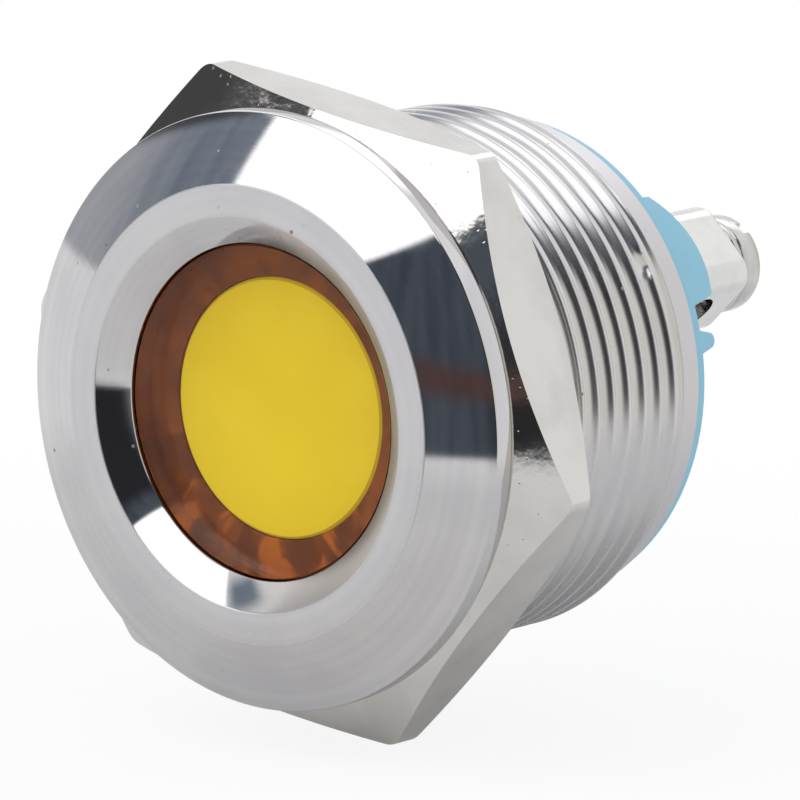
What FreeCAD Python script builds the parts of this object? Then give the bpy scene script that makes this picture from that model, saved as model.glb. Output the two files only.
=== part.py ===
import FreeCAD, Part
import math
import os
from FreeCAD import Vector

# Panel pilot light of the 22 mm size, in millimetres.
# The axis lies along Y. The lens faces -Y, the terminals point to +Y and +Z is up.
# The origin is the middle of the flange's back face, which seats on the panel.
# Depths along the axis are counted from that face, so they are negative in front of the panel.

# Thread and barrel
thread_diameter = 22.0
thread_pitch = 1.0
crest_width = 0.125
thread_depth = 0.613
flank_angle = 30.0
last_crest_depth = 12.03
thread_end_depth = 13.49
end_chamfer_angle = 35.0
neck_diameter = 20.6
barrel_length = 14.56
undercut_diameter = 20.2
undercut_length = 1.0

# Flange and face
flange_diameter = 24.52
rim_thickness = 0.94
edge_break = 0.1
face_height = 2.04
ring_outer_diameter = 18.76
ring_inner_diameter = 16.14
bevel_depth = 0.95
window_diameter = 13.8
shoulder_depth = 1.2
chamber_diameter = 17.8

# Hexagon nut
nut_sides = 6
nut_across_flats = 25.0
nut_thickness = 4.0
nut_corner_radius = 0.8
nut_chamfer_diameter = 23.7
nut_chamfer_angle = 30.0
nut_corner_angle = 110.2
nut_thread_clearance = 0.05
nut_bore_chamfer = 0.3

# Panel seal, a square-section rubber ring in the undercut behind the flange
seal_section = 0.8
seal_gap = 0.02

# Lens, its seal and the yellow diffuser
lens_clearance = 0.05
lens_recess = 0.08
lens_edge_break = 0.15
lens_front_thickness = 1.9
lens_recess_diameter = 10.6
lens_flange_clearance = 0.5
lens_flange_thickness = 1.2
lens_seal_thickness = 0.5
lens_seal_edge_gap = 0.3
lens_seal_bore_gap = 0.2
diffuser_clearance = 0.04
diffuser_thickness = 1.0

# Reflector cup behind the lens
cup_clearance = 0.15
cup_wall = 0.8
cup_length = 4.6
cup_nose_clearance = 0.1
cup_mouth_diameter = 8.8
cup_mouth_land = 0.3
cup_cone_length = 3.4

# Lamp board and what it carries
board_clearance = 0.2
board_thickness = 1.2
led_length = 3.5
led_width = 2.8
led_height = 1.9
led_circle_radius = 3.0
led_count = 4
resistor_length = 3.2
resistor_width = 1.6
resistor_height = 0.6
resistor_spacing = 2.6
rectifier_length = 4.7
rectifier_width = 3.9
rectifier_height = 1.6
rectifier_offset = 4.0
capacitor_diameter = 4.8
capacitor_end_gap = 0.66
capacitor_offset = 4.4
capacitor_edge_break = 0.3

# Rear base, a cup moulded in one piece that closes the barrel
base_clearance = 0.05
base_skirt_wall = 0.95
base_end_wall = 2.0
base_rim_diameter = 20.2
base_rim_thickness = 0.7
base_edge_break = 0.15

# Guard and ear that stand up from the base's rim beside each terminal
guard_wall = 0.6
guard_foot_start = 2.75
guard_top_start = 2.39
guard_top_end = 2.31
guard_foot_end = 2.4
guard_start_height = 1.11
guard_crown_height = 1.24
guard_end_height = 0.22
guard_angle_from_terminal = 2.0
ear_wall = 0.9
ear_foot_reach = 0.63
ear_top_reach = 0.3
ear_shoulder_height = 0.5
ear_crown_height = 0.7
ear_angle_from_terminal = -22.0

# Screw terminals, two alike on opposite sides of the axis
terminal_angle = 32.1
terminal_radius = 7.12
post_width = 4.2
post_corner_radius = 1.0
post_length = 4.8
post_turn = 45.0
wire_hole_diameter = 2.0
wire_hole_height = 2.35
pin_diameter = 1.3
pin_clearance = 0.02
pin_protrusion = 0.8
screw_diameter = 2.5
screw_length = 3.5
screw_clearance = 0.05
screw_bottom_space = 0.4
head_diameter = 4.06
head_height = 1.2
head_edge_round = 0.1
slot_width = 0.6
slot_depth = 0.55
slot_angle = 54.0
recess_width = 0.5
recess_span = 2.2
washer_diameter = 4.1
washer_thickness = 0.35
washer_clearance = 0.1
head_gap = 0.03

# Lead wires between the board and the terminal pins
lead_diameter = 0.9

# Directions, quarter turn and the tolerance for picking edges by their length
ORIGIN = Vector(0, 0, 0)
REARWARD = Vector(0, 1, 0)
UPWARD = Vector(0, 0, 1)
TURN_AXIS = Vector(0, -1, 0)
QUARTER = 90.0
LENGTH_TOLERANCE = 1e-6

# Radii and the faces that the pieces share
thread_radius = thread_diameter / 2
root_radius = thread_radius - thread_depth
neck_radius = neck_diameter / 2
bevel_edge = bevel_depth - face_height
lens_front = bevel_edge + lens_recess
diffuser_front = lens_front + lens_front_thickness
diffuser_back = diffuser_front + diffuser_thickness
lens_flange_front = shoulder_depth + lens_seal_thickness
lens_flange_radius = chamber_diameter / 2 - lens_flange_clearance
lens_back = lens_flange_front + lens_flange_thickness
cup_back = lens_back + cup_length
board_back = cup_back + board_thickness
base_seat = barrel_length
base_rear = base_seat + base_rim_thickness
base_inside = base_rear - base_end_wall
post_end = base_rear + post_length
washer_rear = post_end + washer_thickness
head_seat = washer_rear + head_gap


def turned(points):
    """Revolves a closed outline of (radius, depth) points about the axis."""
    corners = [Vector(radius, depth, 0) for radius, depth in points]
    outline = Part.makePolygon(corners + corners[:1])
    return Part.Face(outline).revolve(ORIGIN, REARWARD, 360)


def ring(outer_radius, inner_radius, front, back):
    """A plain ring or, with no inner radius, a disc."""
    body = Part.makeCylinder(outer_radius, back - front, Vector(0, front, 0), REARWARD)
    if inner_radius > 0:
        body = body.cut(Part.makeCylinder(inner_radius, back - front, Vector(0, front, 0), REARWARD))
    return body


def spun(shape, degrees):
    """Turns a shape about the axis, from +X towards +Z."""
    copy = shape.copy()
    copy.rotate(ORIGIN, TURN_AXIS, degrees)
    return copy


def shifted(shape, across, depth, up):
    """Moves a shape without turning it."""
    copy = shape.copy()
    copy.translate(Vector(across, depth, up))
    return copy


def block(length, height, width, front):
    """A box centred on the axis: length along X, width along Z, rising rearward from front."""
    corner = Vector(-length / 2, front, -width / 2)
    return Part.makeBox(length, height, width, corner)


def on_terminal_line(shape, along, across):
    """Places a shape by its distances along and across the line that joins the terminals."""
    return spun(shifted(shape, along, 0, across), terminal_angle)


def both_terminals(shape):
    """The shape made on the +X side, set at the first terminal and at the opposite one."""
    return [spun(shape, terminal_angle), spun(shape, terminal_angle + 180)]


def edges_of_length(shape, length):
    """The edges of a prism that run along its height."""
    return [edge for edge in shape.Edges if abs(edge.Length - length) < LENGTH_TOLERANCE]


def thread_outline():
    """Crests and grooves of the barrel's thread, from the undercut to the neck."""
    flank = thread_depth * math.tan(math.radians(flank_angle))
    half_crest = crest_width / 2
    crests = int((last_crest_depth - half_crest - flank - undercut_length) / thread_pitch)
    points = [(undercut_diameter / 2, 0), (undercut_diameter / 2, undercut_length)]
    first_foot = last_crest_depth - crests * thread_pitch - half_crest - flank
    if first_foot > undercut_length:
        points.append((root_radius, undercut_length))
    for number in range(crests, -1, -1):
        centre = last_crest_depth - number * thread_pitch
        points.append((root_radius, centre - half_crest - flank))
        points.append((thread_radius, centre - half_crest))
        points.append((thread_radius, centre + half_crest))
    root_start = last_crest_depth + half_crest + flank
    root_end = last_crest_depth + thread_pitch - half_crest - flank
    points.append((root_radius, root_start))
    points.append((root_radius, root_end))
    points.append(partial_crest(root_end))
    points.append((neck_radius, thread_end_depth))
    return points


def partial_crest(root_end):
    """The peak that the end chamfer leaves of the crest after the last full one."""
    rise = 1 / math.tan(math.radians(flank_angle))
    fall = math.tan(math.radians(end_chamfer_angle))
    depth = (neck_radius + fall * thread_end_depth - root_radius + rise * root_end) / (rise + fall)
    return root_radius + rise * (depth - root_end), depth


def make_bezel_housing():
    """Flange, threaded barrel and neck, turned from one bar and bored from behind."""
    flange_radius = flange_diameter / 2
    chamber_radius = chamber_diameter / 2
    points = [
        (window_diameter / 2, shoulder_depth),
        (window_diameter / 2, bevel_edge),
        (ring_inner_diameter / 2, -face_height),
        (ring_outer_diameter / 2, -face_height),
        (flange_radius, -rim_thickness),
        (flange_radius, -edge_break),
        (flange_radius - edge_break, 0),
    ]
    points += thread_outline()
    points += [
        (neck_radius, barrel_length - edge_break),
        (neck_radius - edge_break, barrel_length),
        (chamber_radius, barrel_length),
        (chamber_radius, shoulder_depth),
    ]
    return turned(points)


def make_hex_nut():
    """Hexagon with rounded corners, both faces chamfered, bored to run over the thread."""
    corner_distance = nut_across_flats / 2 / math.cos(math.pi / nut_sides)
    corners = []
    for number in range(nut_sides + 1):
        angle = 2 * math.pi * number / nut_sides
        corners.append(Vector(corner_distance * math.cos(angle), 0, corner_distance * math.sin(angle)))
    prism = Part.Face(Part.makePolygon(corners)).extrude(REARWARD * nut_thickness)
    prism = prism.makeFillet(nut_corner_radius, edges_of_length(prism, nut_thickness))
    slope = math.tan(math.radians(nut_chamfer_angle))
    drop = (corner_distance - nut_chamfer_diameter / 2) * slope
    bore_radius = thread_radius + nut_thread_clearance
    envelope = turned([
        (bore_radius + nut_bore_chamfer, 0),
        (nut_chamfer_diameter / 2, 0),
        (corner_distance, drop),
        (corner_distance, nut_thickness - drop),
        (nut_chamfer_diameter / 2, nut_thickness),
        (bore_radius + nut_bore_chamfer, nut_thickness),
        (bore_radius, nut_thickness - nut_bore_chamfer),
        (bore_radius, nut_bore_chamfer),
    ])
    return spun(prism.common(envelope), nut_corner_angle)


def make_panel_seal():
    """Rubber ring in the undercut, just behind the flange."""
    inner_radius = undercut_diameter / 2 + seal_gap
    return ring(inner_radius + seal_section, inner_radius, seal_gap, seal_gap + seal_section)


def make_lens():
    """Amber cap: a clear face, a recess for the diffuser and a flange behind the shoulder."""
    face_radius = window_diameter / 2 - lens_clearance
    return turned([
        (0, lens_front),
        (face_radius - lens_edge_break, lens_front),
        (face_radius, lens_front + lens_edge_break),
        (face_radius, lens_flange_front),
        (lens_flange_radius, lens_flange_front),
        (lens_flange_radius, lens_back),
        (lens_recess_diameter / 2, lens_back),
        (lens_recess_diameter / 2, diffuser_front),
        (0, diffuser_front),
    ])


def make_lens_seal():
    """Flat ring between the lens flange and the shoulder of the housing."""
    outer_radius = chamber_diameter / 2 - lens_seal_edge_gap
    bore_radius = window_diameter / 2 + lens_seal_bore_gap
    return ring(outer_radius, bore_radius, shoulder_depth, lens_flange_front)


def make_diffuser():
    """Yellow disc in the recess of the lens."""
    return ring(lens_recess_diameter / 2 - diffuser_clearance, 0, diffuser_front, diffuser_back)


def make_reflector_cup():
    """White cup that holds the diffuser in the lens and spaces the board from it."""
    outer = chamber_diameter / 2 - cup_clearance
    bore = outer - cup_wall
    nose = lens_recess_diameter / 2 - cup_nose_clearance
    mouth = cup_mouth_diameter / 2
    cone_start = diffuser_back + cup_mouth_land
    return turned([
        (mouth, diffuser_back),
        (nose, diffuser_back),
        (nose, lens_back),
        (outer, lens_back),
        (outer, cup_back),
        (bore, cup_back),
        (bore, cone_start + cup_cone_length),
        (mouth, cone_start),
    ])


def make_led_board():
    """Round circuit board between the cup and the base's skirt."""
    return ring(chamber_diameter / 2 - board_clearance, 0, cup_back, board_back)


def make_led_chips():
    """Lamp chips on the front of the board, evenly spaced on one circle."""
    chip = block(led_width, led_height, led_length, cup_back - led_height)
    chip = shifted(chip, led_circle_radius, 0, 0)
    angles = [terminal_angle + number * 360 / led_count for number in range(led_count)]
    return Part.makeCompound([spun(chip, angle) for angle in angles])


def make_resistors():
    """Two resistors side by side in the middle of the board's back."""
    chip = block(resistor_width, resistor_height, resistor_length, board_back)
    places = [-resistor_spacing / 2, resistor_spacing / 2]
    return Part.makeCompound([on_terminal_line(chip, place, 0) for place in places])


def make_rectifier():
    """Bridge rectifier on the board's back."""
    chip = block(rectifier_length, rectifier_height, rectifier_width, board_back)
    return on_terminal_line(chip, 0, -rectifier_offset)


def make_capacitor():
    """Smoothing capacitor standing on the board's back."""
    radius = capacitor_diameter / 2
    top = base_inside - capacitor_end_gap
    can = turned([
        (0, board_back),
        (radius, board_back),
        (radius, top - capacitor_edge_break),
        (radius - capacitor_edge_break, top),
        (0, top),
    ])
    return on_terminal_line(can, 0, capacitor_offset)


def standing_tab(outline, wall, angle):
    """Piece of the base's rim that stands up rearward. The outline holds five (reach, height) points:
    the foot's start, the start, crown and end of the arched top, and the foot's end."""
    foot_start, top_start, crown, top_end, foot_end = [
        Vector(0, base_rear + height, reach) for reach, height in outline
    ]
    rim_radius = base_rim_diameter / 2
    edges = Part.Wire([
        Part.LineSegment(foot_start, top_start).toShape(),
        Part.Arc(top_start, crown, top_end).toShape(),
        Part.LineSegment(top_end, foot_end).toShape(),
        Part.LineSegment(foot_end, foot_start).toShape(),
    ])
    slab = Part.Face(edges).extrude(Vector(2 * rim_radius, 0, 0))
    band = ring(rim_radius, rim_radius - wall, base_seat, base_rear + crown.y)
    return spun(slab.common(band), angle)


def make_guard():
    """Arched wall between the rim and a terminal."""
    outline = [
        (-guard_foot_start, -base_rim_thickness),
        (-guard_top_start, guard_start_height),
        (0, guard_crown_height),
        (guard_top_end, guard_end_height),
        (guard_foot_end, -base_rim_thickness),
    ]
    return standing_tab(outline, guard_wall, guard_angle_from_terminal)


def make_ear():
    """Small round-topped ear beside a guard."""
    outline = [
        (-ear_foot_reach, -base_rim_thickness),
        (-ear_top_reach, ear_shoulder_height),
        (0, ear_crown_height),
        (ear_top_reach, ear_shoulder_height),
        (ear_foot_reach, -base_rim_thickness),
    ]
    return standing_tab(outline, ear_wall, ear_angle_from_terminal)


def make_rear_base():
    """Blue moulding: skirt inside the barrel, end wall, rim, guards and ears at the terminals."""
    plug_radius = chamber_diameter / 2 - base_clearance
    rim_radius = base_rim_diameter / 2
    body = turned([
        (plug_radius - base_skirt_wall, board_back),
        (plug_radius, board_back),
        (plug_radius, base_seat),
        (rim_radius, base_seat),
        (rim_radius, base_rear - base_edge_break),
        (rim_radius - base_edge_break, base_rear),
        (0, base_rear),
        (0, base_inside),
        (plug_radius - base_skirt_wall, base_inside),
    ])
    for tab in both_terminals(make_guard()) + both_terminals(make_ear()):
        body = body.fuse(tab)
    pin_hole = Part.makeCylinder(
        pin_diameter / 2 + pin_clearance, base_end_wall, Vector(terminal_radius, base_inside, 0), REARWARD
    )
    for hole in both_terminals(pin_hole):
        body = body.cut(hole)
    return body.removeSplitter()


def make_post():
    """Square pillar with round corners, tapped from behind, a wire hole across and a solder pin."""
    pillar = block(post_width, post_length, post_width, base_rear)
    pillar = pillar.makeFillet(post_corner_radius, edges_of_length(pillar, post_length))
    pin_front = base_inside - pin_protrusion
    pillar = pillar.fuse(ring(pin_diameter / 2, 0, pin_front, base_rear))
    tap_front = head_seat - screw_length - screw_bottom_space
    pillar = pillar.cut(ring(screw_diameter / 2 + screw_clearance, 0, tap_front, post_end))
    hole_start = Vector(0, base_rear + wire_hole_height, -post_width / 2)
    wire_hole = Part.makeCylinder(wire_hole_diameter / 2, post_width, hole_start, UPWARD)
    return to_terminal(pillar.cut(wire_hole))


def to_terminal(shape):
    """Turns a piece made on the axis to the post's angle and moves it out to the terminal circle."""
    return shifted(spun(shape, post_turn - terminal_angle), terminal_radius, 0, 0)


def make_washer():
    """Flat washer held under the screw's head."""
    bore = screw_diameter / 2 + washer_clearance
    return to_terminal(ring(washer_diameter / 2, bore, post_end, washer_rear))


def make_screw():
    """Pan-head screw with a slot across the head and a short cross recess."""
    head_radius = head_diameter / 2
    shank_radius = screw_diameter / 2
    head_rear = head_seat + head_height
    screw = turned([
        (0, head_seat - screw_length),
        (shank_radius, head_seat - screw_length),
        (shank_radius, head_seat),
        (head_radius, head_seat),
        (head_radius, head_rear - head_edge_round),
        (head_radius - head_edge_round, head_rear),
        (0, head_rear),
    ])
    floor = head_rear - slot_depth
    slot = spun(block(head_diameter, slot_depth, slot_width, floor), slot_angle - post_turn)
    arm = spun(block(recess_span, slot_depth, recess_width, floor), slot_angle - post_turn + QUARTER)
    return to_terminal(screw.cut(slot.fuse(arm)))


def make_lead():
    """Insulated wire from the board's back straight to the end of a terminal's solder pin."""
    pin_front = base_inside - pin_protrusion
    return shifted(ring(lead_diameter / 2, 0, board_back, pin_front), terminal_radius, 0, 0)


def main():
    os.makedirs("parts", exist_ok=True)
    nodes = {
        "bezel_housing": make_bezel_housing(),
        "hex_nut": make_hex_nut(),
        "panel_seal": make_panel_seal(),
        "lens": make_lens(),
        "lens_seal": make_lens_seal(),
        "diffuser": make_diffuser(),
        "reflector_cup": make_reflector_cup(),
        "led_board": make_led_board(),
        "led_chips": make_led_chips(),
        "resistors": make_resistors(),
        "rectifier": make_rectifier(),
        "capacitor": make_capacitor(),
        "rear_base": make_rear_base(),
    }
    pairs = {
        "terminal_post": make_post(),
        "terminal_washer": make_washer(),
        "terminal_screw": make_screw(),
        "lead_wire": make_lead(),
    }
    for name, shape in pairs.items():
        nodes[name + "_a"], nodes[name + "_b"] = both_terminals(shape)
    for name, shape in nodes.items():
        shape.exportStep("parts/" + name + ".step")
        print(name, len(shape.Solids), "solids", round(shape.Volume, 3), "mm3", shape.isValid())


main()
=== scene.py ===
# %% [markdown]
# A panel pilot light, dressed for its picture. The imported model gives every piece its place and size, in metres.
# This script adds what a plain solid can't show: the helical thread, turned and drawn metal, clear amber plastic,
# and a white studio whose cards give the metal its dark and bright bands. Work is done in millimetres, and each
# finished mesh is scaled once, so the numbers read like those of a drawing.

# %% Load the frame
import math
import bmesh
import bpy
from mathutils import Matrix, Vector


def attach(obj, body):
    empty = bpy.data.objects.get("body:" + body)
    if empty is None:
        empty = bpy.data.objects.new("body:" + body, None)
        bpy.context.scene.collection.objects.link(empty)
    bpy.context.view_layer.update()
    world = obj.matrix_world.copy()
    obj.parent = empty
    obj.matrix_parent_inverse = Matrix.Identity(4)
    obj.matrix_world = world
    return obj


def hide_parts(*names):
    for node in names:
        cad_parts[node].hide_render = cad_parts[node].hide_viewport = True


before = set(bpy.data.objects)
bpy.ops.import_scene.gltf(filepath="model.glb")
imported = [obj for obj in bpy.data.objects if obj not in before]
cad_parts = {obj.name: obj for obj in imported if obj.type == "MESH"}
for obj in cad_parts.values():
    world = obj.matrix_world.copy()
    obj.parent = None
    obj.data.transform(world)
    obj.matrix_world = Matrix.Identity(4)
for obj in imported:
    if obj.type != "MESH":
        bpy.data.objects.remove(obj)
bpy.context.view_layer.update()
MM = 0.001
PER_METRE = 1000.0


# %% [markdown]
# Most of this light was turned on a lathe, so most of its shapes are an outline spun round the Y axis. A spin keeps
# the outline readable and closes its own seam. The same idea works with a Screw modifier, but a bmesh can go on
# being cut and rounded afterwards.

# %% Outline to turned shape
AXIS = Vector((0, 1, 0))
MERGE = 1e-4


def lathe(outline, steps=180, closed=True):
    """A bmesh from (radius, depth) points in millimetres, spun round the Y axis."""
    mesh = bmesh.new()
    points = [mesh.verts.new((radius, depth, 0)) for radius, depth in outline]
    for start, end in zip(points, points[1:]):
        mesh.edges.new((start, end))
    if closed:
        mesh.edges.new((points[-1], points[0]))
    bmesh.ops.spin(mesh, geom=mesh.verts[:] + mesh.edges[:], cent=(0, 0, 0), axis=AXIS, dvec=(0, 0, 0),
                   angle=2 * math.pi, steps=steps, use_merge=True, use_duplicate=False)
    bmesh.ops.remove_doubles(mesh, verts=mesh.verts, dist=MERGE)
    bmesh.ops.recalc_face_normals(mesh, faces=mesh.faces)
    return mesh


def radius_of(vertex):
    """Distance of a vertex from the axis."""
    return math.hypot(vertex.co.x, vertex.co.z)


print("turned shapes are spun round", tuple(AXIS))

# %% [markdown]
# A turned edge is broken with a small rounding. The bevel operator needs to be told which edges: those of the one
# ring that lies at a given radius and depth. Its own defaults differ from the editor's, so each option is given.

# %% Rounded edges
NEARLY = 2e-3


def round_edges(mesh, edges, size, segments, clamp=False):
    """Rounds the given edges."""
    bmesh.ops.bevel(mesh, geom=edges, offset=size, offset_type="OFFSET", segments=segments, profile=0.5,
                    affect="EDGES", material=-1, clamp_overlap=clamp)


def round_ring(mesh, radius, depth, size, segments=3):
    """Rounds the circular edge that lies at one radius and depth."""
    near = {v for v in mesh.verts if abs(radius_of(v) - radius) < NEARLY and abs(v.co.y - depth) < NEARLY}
    edges = [e for e in mesh.edges if e.verts[0] in near and e.verts[1] in near]
    round_edges(mesh, edges, size, segments, clamp=True)


print("rings are found to within", NEARLY, "mm")

# %% [markdown]
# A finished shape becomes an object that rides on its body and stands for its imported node. It is shaded smooth
# except where two faces meet at a clear angle, which keeps a turned edge crisp and a turned wall round.

# %% From bmesh to a finished piece
def finish_piece(mesh, name, body, node, material, sharp=32):
    """Scales a bmesh to metres, links it, and lets it ride and stand for its node."""
    bmesh.ops.scale(mesh, vec=(MM, MM, MM), verts=mesh.verts)
    data = bpy.data.meshes.new(name)
    mesh.to_mesh(data)
    mesh.free()
    data.shade_smooth()
    data.set_sharp_from_angle(angle=math.radians(sharp))
    data.materials.append(material)
    piece = bpy.data.objects.new(name, data)
    bpy.context.scene.collection.objects.link(piece)
    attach(piece, body)
    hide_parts(node)
    data.calc_loop_triangles()
    print(name, len(data.loop_triangles), "triangles")
    return piece


# %% [markdown]
# Materials are made of nodes. Short helpers keep them readable: one adds a node and wires it, the next three do
# arithmetic, ramps and mixes of colour, and two start and place a shader node group with named sockets.

# %% Node helpers
def add(tree, kind, inputs=None, **settings):
    """Adds a node, sets its options, and links or sets its inputs by name or number."""
    made = tree.nodes.new(kind)
    for option, value in settings.items():
        setattr(made, option, value)
    for socket, value in (inputs or {}).items():
        if isinstance(value, bpy.types.NodeSocket):
            tree.links.new(value, made.inputs[socket])
        else:
            made.inputs[socket].default_value = value
    return made


def calc(tree, operation, *values):
    """One Math node; returns its output."""
    return add(tree, "ShaderNodeMath", dict(enumerate(values)), operation=operation).outputs[0]


def remap(tree, value, low, high, to_low=0.0, to_high=1.0):
    """A smooth ramp of a value from one range to another."""
    return add(tree, "ShaderNodeMapRange", {"Value": value, "From Min": low, "From Max": high, "To Min": to_low,
                                            "To Max": to_high}, interpolation_type="SMOOTHSTEP").outputs[0]


def blend(tree, factor, first, second):
    """Mixes two colours."""
    return add(tree, "ShaderNodeMix", {0: factor, 6: first, 7: second}, data_type="RGBA").outputs[2]


def noise(tree, inputs):
    """The value of a Noise texture."""
    return add(tree, "ShaderNodeTexNoise", inputs).outputs[0]


print("node helpers:", ", ".join(helper.__name__ for helper in (add, calc, remap, blend, noise)))

# %% Group helpers
def new_group(name, inputs, outputs):
    """A shader node group with float inputs and outputs; returns it with its two end nodes."""
    tree = bpy.data.node_groups.new(name, "ShaderNodeTree")
    for label, default in inputs.items():
        tree.interface.new_socket(label, in_out="INPUT", socket_type="NodeSocketFloat").default_value = default
    for label in outputs:
        tree.interface.new_socket(label, in_out="OUTPUT", socket_type="NodeSocketFloat")
    return tree, tree.nodes.new("NodeGroupInput"), tree.nodes.new("NodeGroupOutput")


def use(tree, group, inputs=None):
    """Places a group in a material; returns its outputs."""
    return add(tree, "ShaderNodeGroup", inputs, node_tree=group).outputs


print("group helpers:", new_group.__name__, use.__name__)

# %% [markdown]
# Nearly every finish on this light follows the lathe: marks run round the axis, and colour changes with radius or
# depth. So the first group turns Object coordinates into a radius, a depth and a turn about the axis.

# %% Group: place on the lathe
lathe_place, into, out = new_group("place_on_the_lathe", {}, ["Radius", "Depth", "Turn"])
spot = add(lathe_place, "ShaderNodeTexCoord").outputs["Object"]
parts = add(lathe_place, "ShaderNodeSeparateXYZ", {0: spot}).outputs
across, depth, height = [calc(lathe_place, "MULTIPLY", part, PER_METRE) for part in parts]
squares = calc(lathe_place, "ADD", calc(lathe_place, "MULTIPLY", across, across),
               calc(lathe_place, "MULTIPLY", height, height))
lathe_place.links.new(calc(lathe_place, "SQRT", squares), out.inputs["Radius"])
lathe_place.links.new(depth, out.inputs["Depth"])
lathe_place.links.new(calc(lathe_place, "ARCTAN2", height, across), out.inputs["Turn"])
print("group", lathe_place.name)

# %% [markdown]
# A lathe tool leaves fine rings, and no ring is quite even. A noise that is stretched along the turn gives them: it
# is read by radius and depth, and the turn only makes it waver. A wave texture would give rings too, but all alike.

# %% Group: turning marks
turning, into, out = new_group("turning_marks", {"Fineness": 30.0, "Waver": 0.4}, ["Height", "Streak"])
place = use(turning, lathe_place)
waver = calc(turning, "MULTIPLY", calc(turning, "COSINE", place["Turn"]), into.outputs["Waver"])
sway = calc(turning, "MULTIPLY", calc(turning, "SINE", place["Turn"]), into.outputs["Waver"])
line = add(turning, "ShaderNodeCombineXYZ", {
    0: calc(turning, "MULTIPLY", place["Radius"], into.outputs["Fineness"]),
    1: calc(turning, "MULTIPLY", place["Depth"], into.outputs["Fineness"]),
    2: calc(turning, "ADD", waver, sway)}).outputs[0]
fine = noise(turning, {"Vector": line, "Scale": 1.0, "Detail": 3.0, "Roughness": 0.6})
broad = noise(turning, {"Vector": line, "Scale": 0.12, "Detail": 2.0})
turning.links.new(fine, out.inputs["Height"])
turning.links.new(broad, out.inputs["Streak"])
print("group", turning.name)

# %% [markdown]
# Handling, plating and moulding leave an uneven sheen. Two sizes of noise stand for it: a cloudy one for patches
# and a much finer one for grain.

# %% Group: mottle
GRAIN_FINER = 14.0
mottle, into, out = new_group("mottle", {"Size": 2.0, "Detail": 4.0}, ["Value", "Grain"])
spot = add(mottle, "ShaderNodeTexCoord").outputs["Object"]
per_metre = calc(mottle, "DIVIDE", PER_METRE, into.outputs["Size"])
cloud = noise(mottle, {"Vector": spot, "Scale": per_metre, "Detail": into.outputs["Detail"]})
grain = noise(mottle, {"Vector": spot, "Scale": calc(mottle, "MULTIPLY", per_metre, GRAIN_FINER), "Detail": 2.0})
mottle.links.new(cloud, out.inputs["Value"])
mottle.links.new(grain, out.inputs["Grain"])
print("group", mottle.name)

# %% [markdown]
# Dust, pits and rust spots are few and small. A Voronoi texture cuts space into cells, a share of the cells is
# chosen by its random colour, and each chosen one keeps a small round dot.

# %% Group: specks
DOT_EDGE, DOT_FULL = 0.22, 0.12
specks, into, out = new_group("specks", {"Size": 0.5, "Amount": 0.1}, ["Mask"])
spot = add(specks, "ShaderNodeTexCoord").outputs["Object"]
per_metre = calc(specks, "DIVIDE", PER_METRE, into.outputs["Size"])
cells = add(specks, "ShaderNodeTexVoronoi", {"Vector": spot, "Scale": per_metre}).outputs
lot = add(specks, "ShaderNodeSeparateXYZ", {0: cells["Color"]}).outputs[0]
chosen = calc(specks, "LESS_THAN", lot, into.outputs["Amount"])
dots = remap(specks, cells["Distance"], DOT_EDGE, DOT_FULL)
specks.links.new(calc(specks, "MULTIPLY", chosen, dots), out.inputs["Mask"])
print("group", specks.name)

# %% [markdown]
# A finish is a Principled shader with its plain numbers set on its own sockets, and only what varies over the
# surface is wired. Bump turns a height into a change of the normal, which catches the light without moving a point.

# %% Start a finish
FINE_RELIEF, FLOW_RELIEF = 0.00002, 0.00005


def new_finish(name, **values):
    """A material with one Principled shader; values are the sockets that are the same all over."""
    material = bpy.data.materials.new(name)
    material.use_nodes = True
    tree = material.node_tree
    shader = tree.nodes["Principled BSDF"]
    for label, value in values.items():
        shader.inputs[label.replace("_", " ")].default_value = value
    print("finish", name)
    return material, tree, shader


def wire(tree, shader, **values):
    """Links what varies to the shader's sockets."""
    for label, value in values.items():
        tree.links.new(value, shader.inputs[label.replace("_", " ")])


def bump(tree, shader, height, strength, distance=FINE_RELIEF):
    """Wires a height to the shader's normal."""
    wire(tree, shader, Normal=add(tree, "ShaderNodeBump", {"Height": height, "Strength": strength,
                                                           "Distance": distance}).outputs[0])


# %% [markdown]
# The housing is nickel on turned brass, polished on the cone, satin on the face ring and duller on the thread and
# neck. The bevel inside the ring is made rougher on one side, where the real bevel shows no mirror image of the disc,
# and there its colour is a painted shade: a beige tone for the shade that the face ring casts on it. One material
# covers it all, because the plating is one; masks by radius and depth change its roughness and tone.

# %% Nickel plate on turned brass: where it is duller
bezel_metal, tree, shader = new_finish("turned_nickel", Metallic=1.0, IOR=1.45)
place = use(tree, lathe_place)
face_ring = calc(tree, "LESS_THAN", place["Depth"], -2.02)
on_thread = calc(tree, "GREATER_THAN", place["Depth"], 1.0)
on_neck = calc(tree, "GREATER_THAN", place["Depth"], 13.45)
inner_bevel = calc(tree, "LESS_THAN", place["Radius"], 8.07)
# One side of the inner bevel: rougher, and its colour there is painted shade (below).
dull_side_with_painted_shade = calc(tree, "MULTIPLY", inner_bevel, remap(tree, calc(tree, "COSINE", place["Turn"]), -0.15, 0.45))
sheen = use(tree, mottle, {"Size": 3.0})
dust = use(tree, specks, {"Size": 0.45, "Amount": 0.05})["Mask"]
rough = remap(tree, sheen["Value"], 0.3, 0.7, 0.03, 0.065)
for mask, rougher in ((face_ring, 0.24), (on_thread, 0.16), (on_neck, 0.22), (dull_side_with_painted_shade, 0.34), (dust, 0.3)):
    rough = calc(tree, "ADD", rough, calc(tree, "MULTIPLY", mask, rougher))
wire(tree, shader, Roughness=rough)

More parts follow.
